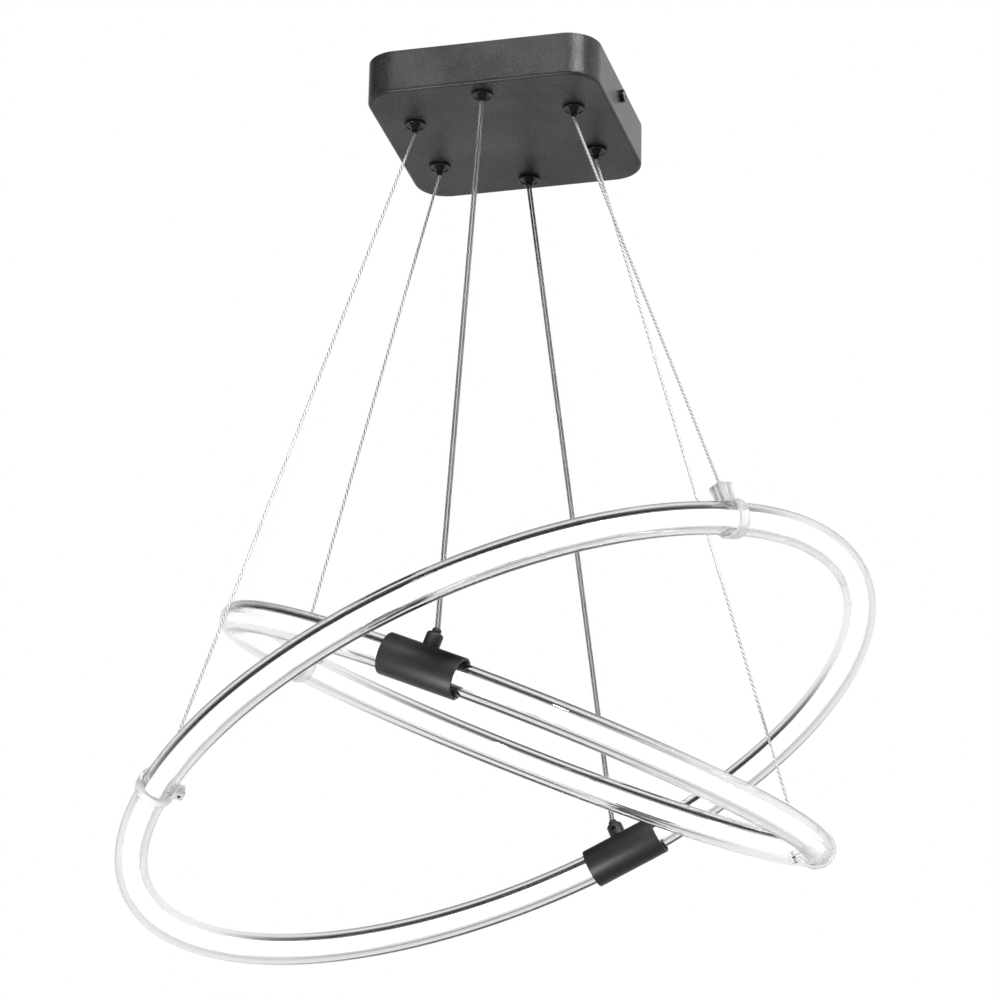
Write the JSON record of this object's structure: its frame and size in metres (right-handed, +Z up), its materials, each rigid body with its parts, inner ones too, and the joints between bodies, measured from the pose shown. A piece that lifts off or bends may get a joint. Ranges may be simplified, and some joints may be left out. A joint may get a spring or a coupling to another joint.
{
  "type": "led pendant light",
  "caption": "Pendant light: two tilted clear tube rings with glowing white cores, hung by thin wires and cords from a square dark grey ceiling canopy.",
  "frame": {"origin": "Centre of the ceiling bracket on the ceiling plane, where the light is fixed.", "axes": "+Z up into the ceiling, +X to the right along the canopy side that faces the viewer, +Y away from the viewer."},
  "size_m": [0.555, 0.6042, 0.6624],
  "materials": {
    "canopy_charcoal": "satin powder coat with a fine grain",
    "zinc_steel": "zinc plated",
    "gloss_black": "gloss black plated",
    "satin_black": "satin black",
    "brass_screw": "plain brass",
    "foam_black": "matte foam",
    "driver_white": "fine matte",
    "board_green": "solder mask",
    "terminal_plastic": "semi gloss",
    "lead_grey": "smooth",
    "earth_green": "smooth",
    "spring_steel": "bright drawn",
    "wire_sheath": "smooth clear sheath over a steel strand",
    "cord_sheath": "clear sheath over two tinned strands",
    "clear_tube": "polished clear acrylic",
    "core_diffuser": "milky, lit from inside",
    "led_strip": "white strip with diodes",
    "clip_clear": "polished, clear",
    "joiner_black": "matte",
    "ferrule_steel": "plain"
  },
  "bodies": {
    "canopy": {"canopy_cover": "canopy_charcoal", "ceiling_bracket": "zinc_steel", "side_screws": "gloss_black", "earth_screw": "brass_screw", "driver_pad": "foam_black", "driver_case": "driver_white", "driver_lid": "driver_white", "driver_board": "board_green", "terminal_block": "terminal_plastic", "terminal_screws": "zinc_steel", "mains_lead": "lead_grey", "earth_lead": "earth_green", "wire_grip_bodies": "gloss_black", "cord_grip_bodies": "gloss_black", "grip_nuts": "zinc_steel", "spring_large_left": "spring_steel", "spring_large_right": "spring_steel", "spring_small_left": "spring_steel", "spring_small_right": "spring_steel", "wire_tails": "wire_sheath", "small_output_lead": "cord_sheath", "large_output_lead": "cord_sheath", "wire_large_left": "wire_sheath", "wire_large_right": "wire_sheath", "wire_small_left": "wire_sheath", "wire_small_right": "wire_sheath", "cord_large": "cord_sheath", "cord_small": "cord_sheath"},
    "plunger_large_left": {"plunger_large_left": "gloss_black"},
    "plunger_large_right": {"plunger_large_right": "gloss_black"},
    "large_ring": {"large_tube": "clear_tube", "large_core": "core_diffuser", "large_led_strip": "led_strip", "large_joiner": "joiner_black", "large_sleeve": "satin_black", "large_boss": "satin_black", "large_set_screw": "gloss_black", "large_cord_nose": "satin_black", "large_pigtail": "lead_grey", "large_clip_left": "clip_clear", "large_clip_right": "clip_clear", "large_clamp_screws": "gloss_black", "large_wire_ends": "ferrule_steel"},
    "plunger_small_left": {"plunger_small_left": "gloss_black"},
    "plunger_small_right": {"plunger_small_right": "gloss_black"},
    "small_ring": {"small_tube": "clear_tube", "small_core": "core_diffuser", "small_led_strip": "led_strip", "small_joiner": "joiner_black", "small_sleeve": "satin_black", "small_boss": "satin_black", "small_set_screw": "gloss_black", "small_cord_nose": "satin_black", "small_pigtail": "lead_grey", "small_clip_left": "clip_clear", "small_clip_right": "clip_clear", "small_clamp_screws": "gloss_black", "small_wire_ends": "ferrule_steel"}
  },
  "joints": [
    {"name": "large_ring_height", "type": "slide", "parent": "canopy", "child": "large_ring", "axis": [0, 0, 1], "range_m": [0, 0.15], "deforming": ["wire_large_left", "wire_large_right", "cord_large"]},
    {"name": "small_ring_height", "type": "slide", "parent": "canopy", "child": "small_ring", "axis": [0, 0, 1], "range_m": [-0.15, 0], "deforming": ["wire_small_left", "wire_small_right", "cord_small"]},
    {"name": "release_large_left", "type": "slide", "parent": "canopy", "child": "plunger_large_left", "axis": [0, 0, 1], "range_m": [0, 0.0025], "stiffness_N_per_m": 350, "springref_m": -0.004, "deforming": ["spring_large_left"]},
    {"name": "release_large_right", "type": "slide", "parent": "canopy", "child": "plunger_large_right", "axis": [0, 0, 1], "range_m": [0, 0.0025], "stiffness_N_per_m": 350, "springref_m": -0.004, "deforming": ["spring_large_right"]},
    {"name": "release_small_left", "type": "slide", "parent": "canopy", "child": "plunger_small_left", "axis": [0, 0, 1], "range_m": [0, 0.0025], "stiffness_N_per_m": 350, "springref_m": -0.004, "deforming": ["spring_small_left"]},
    {"name": "release_small_right", "type": "slide", "parent": "canopy", "child": "plunger_small_right", "axis": [0, 0, 1], "range_m": [0, 0.0025], "stiffness_N_per_m": 350, "springref_m": -0.004, "deforming": ["spring_small_right"]}
  ]
}
